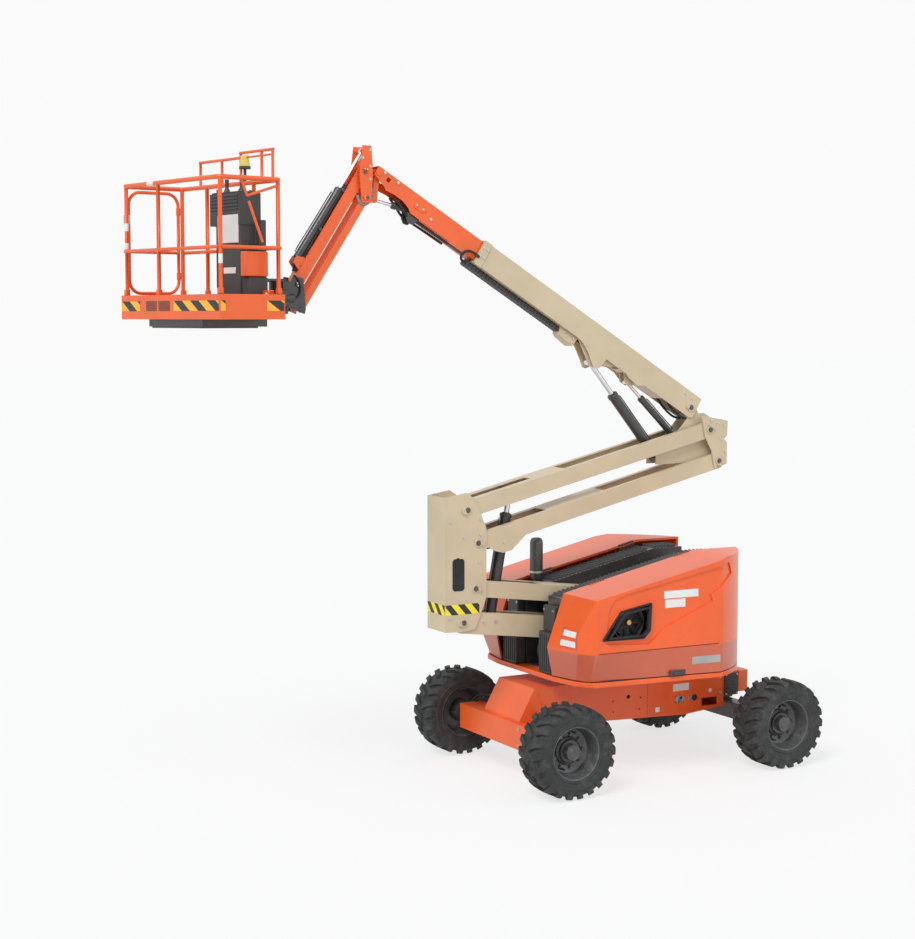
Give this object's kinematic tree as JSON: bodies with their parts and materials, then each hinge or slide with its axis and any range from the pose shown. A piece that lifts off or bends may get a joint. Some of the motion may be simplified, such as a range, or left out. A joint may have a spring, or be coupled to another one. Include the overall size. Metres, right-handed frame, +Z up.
{
  "type": "articulating boom lift",
  "caption": "Self-propelled boom lift with a folding two-link tower, telescopic main boom, levelled jib and railed basket on a swinging turntable over four wheels",
  "frame": {"origin": "centre of the overall box on the ground", "axes": "+Z up, +X towards the steered axle, -X towards the basket, +Y the machine's left side"},
  "size_m": [6.2692, 2.33, 5.7092],
  "materials": {
    "orange_paint": "gloss orange enamel",
    "orange_shell": "gloss orange moulding",
    "cream_paint": "gloss cream enamel",
    "black_paint": "satin black enamel",
    "black_plastic": "matt black moulding",
    "rim_paint": "dark grey enamel",
    "tyre_rubber": "matt black rubber",
    "rod_chrome": "hard chrome",
    "engine_casting": "dark engine castings",
    "tail_casting": "orange painted casting"
  },
  "bodies": {
    "chassis": {"chassis_frame": "orange_paint", "rear_hubs": "black_paint", "front_axle": "black_paint"},
    "knuckle_left": {"knuckle_left": "black_paint"},
    "knuckle_right": {"knuckle_right": "black_paint"},
    "tie_rod": {"tie_rod": "black_paint"},
    "turntable": {"turntable_deck": "orange_paint", "tower_bracket": "black_paint", "channel": "black_paint", "engine_block": "engine_casting", "counterweight": "tail_casting", "exhaust": "black_paint"},
    "hood_right": {"hood_right": "orange_shell"},
    "hood_left": {"hood_left": "orange_shell"},
    "lower_arm": {"lower_arm": "cream_paint"},
    "lower_link": {"lower_link": "cream_paint"},
    "mid_post": {"mid_post": "cream_paint"},
    "upper_arm": {"upper_arm": "cream_paint"},
    "upper_link": {"upper_link": "cream_paint"},
    "upper_post": {"upper_post": "cream_paint"},
    "base_boom": {"base_boom": "cream_paint", "hose_carrier": "black_plastic"},
    "fly_boom": {"fly_boom": "orange_paint"},
    "jib_base": {"jib_base": "orange_paint"},
    "jib_arm": {"jib_arm": "orange_paint"},
    "jib_link": {"jib_link": "orange_paint"},
    "jib_head": {"jib_head": "black_paint"},
    "platform": {"platform_floor": "orange_paint", "platform_support": "black_paint", "platform_rails": "orange_paint", "platform_console": "black_plastic"},
    "gate": {"gate": "orange_paint"},
    "tower_barrel": {"tower_barrel": "black_paint"},
    "tower_rod": {"tower_rod": "rod_chrome"},
    "lift_barrel": {"lift_barrel": "black_paint"},
    "lift_rod": {"lift_rod": "rod_chrome"},
    "level_barrel": {"level_barrel": "black_paint"},
    "level_rod": {"level_rod": "rod_chrome"},
    "jib_barrel": {"jib_barrel": "black_paint"},
    "jib_rod": {"jib_rod": "rod_chrome"},
    "slave_barrel": {"slave_barrel": "black_paint"},
    "slave_rod": {"slave_rod": "rod_chrome"},
    "wheel_rear_left": {"tyre_rear_left": "tyre_rubber", "rim_rear_left": "rim_paint"},
    "wheel_rear_right": {"tyre_rear_right": "tyre_rubber", "rim_rear_right": "rim_paint"},
    "wheel_front_left": {"tyre_front_left": "tyre_rubber", "rim_front_left": "rim_paint"},
    "wheel_front_right": {"tyre_front_right": "tyre_rubber", "rim_front_right": "rim_paint"}
  },
  "joints": [
    {"name": "swing", "type": "hinge", "parent": "chassis", "child": "turntable", "pos_m": [1.53957, 0, 0.93], "axis": [0, 0, 1], "range_deg": [-177.5, 177.5]},
    {"name": "tower_lift", "type": "hinge", "parent": "turntable", "child": "lower_arm", "pos_m": [2.05943, 0, 1.19573], "axis": [0, 1, 0], "range_deg": [-6, 60]},
    {"name": "lower_link_pivot", "type": "hinge", "parent": "turntable", "child": "lower_link", "pos_m": [2.18343, 0, 1.49873], "axis": [0, 1, 0], "range_deg": [-6.5, 60.5]},
    {"name": "mid_post_level", "type": "hinge", "parent": "lower_arm", "child": "mid_post", "pos_m": [-0.22243, 0, 1.484], "axis": [0, 1, 0], "range_deg": [-60.5, 6.5]},
    {"name": "upper_arm_lift", "type": "hinge", "parent": "mid_post", "child": "upper_arm", "pos_m": [-0.18143, 0, 2.503], "axis": [0, 1, 0], "range_deg": [-60.5, 6.5]},
    {"name": "upper_link_pivot", "type": "hinge", "parent": "mid_post", "child": "upper_link", "pos_m": [-0.07343, 0, 2.2], "axis": [0, 1, 0], "range_deg": [-60.5, 6.5]},
    {"name": "upper_post_level", "type": "hinge", "parent": "upper_arm", "child": "upper_post", "pos_m": [2.50425, 0, 3.14778], "axis": [0, 1, 0], "range_deg": [-6.5, 60.5]},
    {"name": "main_lift", "type": "hinge", "parent": "upper_post", "child": "base_boom", "pos_m": [2.31925, 0, 3.36678], "axis": [0, 1, 0], "range_deg": [-31.4, 41.6]},
    {"name": "telescope", "type": "slide", "parent": "base_boom", "child": "fly_boom", "axis": [-0.8536, 0, 0.521], "range_m": [-0.2, 1.7]},
    {"name": "jib_base_level", "type": "hinge", "parent": "fly_boom", "child": "jib_base", "pos_m": [-1.01599, 0, 5.48229], "axis": [0, 1, 0], "range_deg": [-44, 34]},
    {"name": "jib_lift", "type": "hinge", "parent": "jib_base", "child": "jib_arm", "pos_m": [-1.16099, 0, 5.48229], "axis": [0, 1, 0], "range_deg": [-18, 127]},
    {"name": "jib_link_pivot", "type": "hinge", "parent": "jib_base", "child": "jib_link", "pos_m": [-1.14099, 0, 5.26429], "axis": [0, 1, 0], "range_deg": [-24, 133]},
    {"name": "jib_head_level", "type": "hinge", "parent": "jib_arm", "child": "jib_head", "pos_m": [-1.78733, 0, 4.51781], "axis": [0, 1, 0], "range_deg": [-133, 24]},
    {"name": "platform_rotate", "type": "hinge", "parent": "jib_head", "child": "platform", "pos_m": [-1.93732, 0, 4.51781], "axis": [0, 0, 1], "range_deg": [-100.4, 79.6]},
    {"name": "gate_swing", "type": "hinge", "parent": "platform", "child": "gate", "pos_m": [-2.58901, 0.648, 4.715], "axis": [0, 0, 1], "range_deg": [0, 90]},
    {"name": "steer_left", "type": "hinge", "parent": "chassis", "child": "knuckle_left", "pos_m": [2.71457, 0.73, 0.42], "axis": [0, 0, 1], "range_deg": [-35, 35]},
    {"name": "steer_right", "type": "hinge", "parent": "chassis", "child": "knuckle_right", "pos_m": [2.71457, -0.73, 0.42], "axis": [0, 0, 1], "range_deg": [-35.5, 35.5]},
    {"name": "tie_rod_shift", "type": "slide", "parent": "chassis", "child": "tie_rod", "axis": [0, 1, 0], "range_m": [-0.0925, 0.0925]},
    {"name": "wheel_rear_left_spin", "type": "hinge", "parent": "chassis", "child": "wheel_rear_left", "pos_m": [0.36457, 0.99, 0.42], "axis": [0, 1, 0], "continuous": true},
    {"name": "wheel_front_left_spin", "type": "hinge", "parent": "knuckle_left", "child": "wheel_front_left", "pos_m": [2.71457, 0.99, 0.42], "axis": [0, 1, 0], "continuous": true},
    {"name": "wheel_rear_right_spin", "type": "hinge", "parent": "chassis", "child": "wheel_rear_right", "pos_m": [0.36457, -0.99, 0.42], "axis": [0, 1, 0], "continuous": true},
    {"name": "wheel_front_right_spin", "type": "hinge", "parent": "knuckle_right", "child": "wheel_front_right", "pos_m": [2.71457, -0.99, 0.42], "axis": [0, 1, 0], "continuous": true},
    {"name": "hood_right_lift", "type": "hinge", "parent": "turntable", "child": "hood_right", "pos_m": [0.83957, -0.46, 1.77], "axis": [-0.9778, 0, -0.2095], "range_deg": [0, 60]},
    {"name": "hood_left_lift", "type": "hinge", "parent": "turntable", "child": "hood_left", "pos_m": [0.83957, 0.46, 1.77], "axis": [0.9778, 0, 0.2095], "range_deg": [0, 60]},
    {"name": "tower_barrel_pivot", "type": "hinge", "parent": "lower_arm", "child": "tower_barrel", "pos_m": [0.13274, 0, 1.43913], "axis": [0, 1, 0], "range_deg": [-69.56, 7.41]},
    {"name": "tower_rod_slide", "type": "slide", "parent": "tower_barrel", "child": "tower_rod", "axis": [0.1797, 0, 0.9837], "range_m": [-0.07342, 0.71619]},
    {"name": "lift_barrel_pivot", "type": "hinge", "parent": "upper_post", "child": "lift_barrel", "pos_m": [1.98925, 0, 2.88478], "axis": [0, 1, 0], "range_deg": [-26.56, 35.03]},
    {"name": "lift_rod_slide", "type": "slide", "parent": "lift_barrel", "child": "lift_rod", "axis": [-0.6389, 0, 0.7693], "range_m": [-0.33082, 0.43763]},
    {"name": "level_barrel_pivot", "type": "hinge", "parent": "upper_post", "child": "level_barrel", "pos_m": [2.20925, 0, 3.06978], "axis": [0, 1, 0], "range_deg": [-26.25, 34.61]},
    {"name": "level_rod_slide", "type": "slide", "parent": "level_barrel", "child": "level_rod", "axis": [-0.7203, 0, 0.6936], "range_m": [-0.16093, 0.21256]},
    {"name": "jib_barrel_pivot", "type": "hinge", "parent": "jib_arm", "child": "jib_barrel", "pos_m": [-1.7786, 0, 4.71485], "axis": [0, 1, 0], "range_deg": [-4.25, 1.03]},
    {"name": "jib_rod_slide", "type": "slide", "parent": "jib_barrel", "child": "jib_rod", "axis": [0.5587, 0, 0.8294], "range_m": [-0.31564, 0.04645]},
    {"name": "slave_barrel_pivot", "type": "hinge", "parent": "fly_boom", "child": "slave_barrel", "pos_m": [-0.52793, 0, 5.13985], "axis": [0, 1, 0], "range_deg": [-4.16, 5.35]},
    {"name": "slave_rod_slide", "type": "slide", "parent": "slave_barrel", "child": "slave_rod", "axis": [-0.9772, 0, 0.2121], "range_m": [-0.15338, 0.11626]}
  ],
  "couplings": [
    {"joint": "lower_link_pivot", "follows": "tower_lift", "ratio": 1},
    {"joint": "mid_post_level", "follows": "tower_lift", "ratio": -1},
    {"joint": "upper_arm_lift", "follows": "tower_lift", "ratio": -1},
    {"joint": "upper_link_pivot", "follows": "tower_lift", "ratio": -1},
    {"joint": "upper_post_level", "follows": "tower_lift", "ratio": 1},
    {"joint": "jib_base_level", "follows": "main_lift", "ratio": -1},
    {"joint": "jib_link_pivot", "follows": "jib_lift", "ratio": 1},
    {"joint": "jib_head_level", "follows": "jib_lift", "ratio": -1},
    {"joint": "steer_right", "follows": "steer_left", "ratio": 1},
    {"joint": "tie_rod_shift", "follows": "steer_left", "m_per_rad": 0.15},
    {"joint": "tower_barrel_pivot", "follows": "tower_lift", "ratio": -1.151},
    {"joint": "tower_rod_slide", "follows": "tower_lift", "m_per_rad": 0.682},
    {"joint": "lift_barrel_pivot", "follows": "main_lift", "ratio": 0.83},
    {"joint": "lift_rod_slide", "follows": "main_lift", "m_per_rad": 0.6},
    {"joint": "level_barrel_pivot", "follows": "main_lift", "ratio": 0.82},
    {"joint": "level_rod_slide", "follows": "main_lift", "m_per_rad": 0.29},
    {"joint": "jib_barrel_pivot", "follows": "jib_lift", "ratio": -0.0295},
    {"joint": "jib_rod_slide", "follows": "jib_lift", "m_per_rad": -0.1415},
    {"joint": "slave_barrel_pivot", "follows": "main_lift", "ratio": 0.1165},
    {"joint": "slave_rod_slide", "follows": "main_lift", "m_per_rad": -0.2085}
  ]
}
